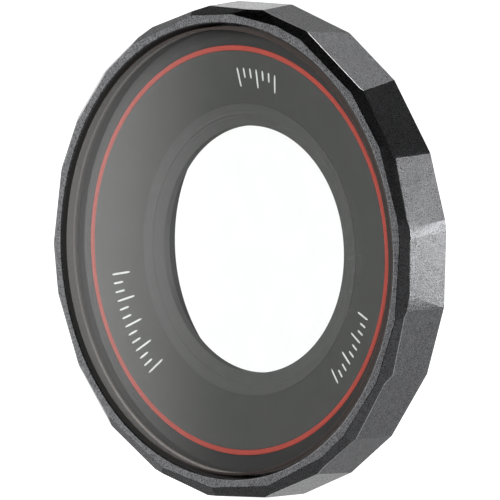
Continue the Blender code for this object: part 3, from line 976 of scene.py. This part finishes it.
direction = tree.nodes.new("ShaderNodeTexCoord").outputs["Generated"]
total = None
for lobe, (towards, strength, narrow) in LOBES.items():
    dot = tree.nodes.new("ShaderNodeVectorMath")
    dot.operation = "DOT_PRODUCT"
    tree.links.new(direction, dot.inputs[0])
    dot.inputs[1].default_value = Vector(towards).normalized()
    fall = math_node("EXPONENT", math_node(
        "MULTIPLY", math_node("SUBTRACT", dot.outputs["Value"], 1.0), narrow))
    part = math_node("MULTIPLY", fall, strength, f"amp_{lobe}")
    total = part if total is None else math_node("ADD", total, part)
path = tree.nodes.new("ShaderNodeLightPath")
first_surface = math_node("MULTIPLY", math_node("LESS_THAN", path.outputs["Diffuse Depth"], 0.5),
                          math_node("LESS_THAN", path.outputs["Glossy Depth"], 0.5))
backdrop = math_node("MINIMUM", math_node("ADD", path.outputs["Is Camera Ray"], math_node(
    "MULTIPLY", path.outputs["Is Transmission Ray"], first_surface)), 1.0)
surround = tree.nodes.new("ShaderNodeBackground")
tree.links.new(total, surround.inputs["Strength"])
white = tree.nodes.new("ShaderNodeBackground")
tree.links.new(math_node("ADD", 1.05, math_node(
    "MULTIPLY", path.outputs["Is Transmission Ray"], 0.35)), white.inputs["Strength"])
mix = tree.nodes.new("ShaderNodeMixShader")
tree.links.new(backdrop, mix.inputs[0])
tree.links.new(surround.outputs[0], mix.inputs[1])
tree.links.new(white.outputs[0], mix.inputs[2])
out = tree.nodes.new("ShaderNodeOutputWorld")
tree.links.new(mix.outputs[0], out.inputs["Surface"])


def softbox(name, towards, distance, width, height, power, shine=True):
    light = bpy.data.lights.new(name, "AREA")
    light.shape = "RECTANGLE"
    light.size, light.size_y = width, height
    light.energy = power
    obj = bpy.data.objects.new(name, light)
    bpy.context.scene.collection.objects.link(obj)
    d = Vector(towards).normalized()
    obj.location = d * distance
    obj.rotation_mode = "QUATERNION"
    obj.rotation_quaternion = d.to_track_quat("Z", "Y")
    obj.visible_camera = False
    obj.visible_transmission = False
    obj.visible_glossy = shine
    return obj


# A diffuser card on the front left, bright on its left and fading out to the right
CARD_NORMAL = Vector((-0.687, -0.723, -0.072)).normalized()
card_x = Vector((0.7249, -0.6888, 0.0)).normalized()
card_y = CARD_NORMAL.cross(card_x).normalized()
bm = bmesh.new()
bmesh.ops.create_grid(bm, x_segments=4, y_segments=4, size=0.5)
for v in bm.verts:
    v.co.x = (v.co.x - 0.40) * 0.26
    v.co.y = v.co.y * 0.20 + 0.025
card = into_object(bm, "diffuser_card")
card.matrix_world = Matrix((
    (card_x.x, card_y.x, CARD_NORMAL.x, CARD_NORMAL.x * 0.24),
    (card_x.y, card_y.y, CARD_NORMAL.y, CARD_NORMAL.y * 0.24),
    (card_x.z, card_y.z, CARD_NORMAL.z, CARD_NORMAL.z * 0.24), (0, 0, 0, 1)))
card_look = Nodes("diffuser_card")
split = card_look.node("ShaderNodeSeparateXYZ")
card_look.link(card_look.coords.outputs["Object"], split.inputs[0])
fade = card_look.node("ShaderNodeMapRange", interpolation_type="SMOOTHSTEP")
fade.inputs["From Min"].default_value = 0.004
fade.inputs["From Max"].default_value = -0.012
fade.inputs["To Min"].default_value = 0.0
fade.inputs["To Max"].default_value = 1.0
card_look.link(split.outputs["X"], fade.inputs["Value"])
glow = card_look.node("ShaderNodeEmission")
lift = card_look.node("ShaderNodeMath", operation="MULTIPLY")
lift.name = "amp_card"
lift.inputs[1].default_value = 1.7
card_look.link(fade.outputs[0], lift.inputs[0])
card_look.link(lift.outputs[0], glow.inputs["Strength"])
card_look.link(glow.outputs[0], card_look.output.inputs["Surface"])
card.data.materials.append(card_look.mat)
card.visible_camera = False
card.visible_shadow = False

softbox("softbox_right", (0.69, 0.72, 0.09), 0.60, 0.34, 0.26, 1.28)
softbox("softbox_front", (0.40, -0.91, 0.06), 0.60, 0.20, 0.20, 2.3, False)
softbox("softbox_near", (-0.25, -0.92, 0.30), 0.15, 0.04, 0.04, 0.170, False)

bpy.context.scene.cycles.caustics_refractive = False
bpy.context.scene.view_settings.view_transform = "Standard"
bpy.context.scene.view_settings.look = "None"
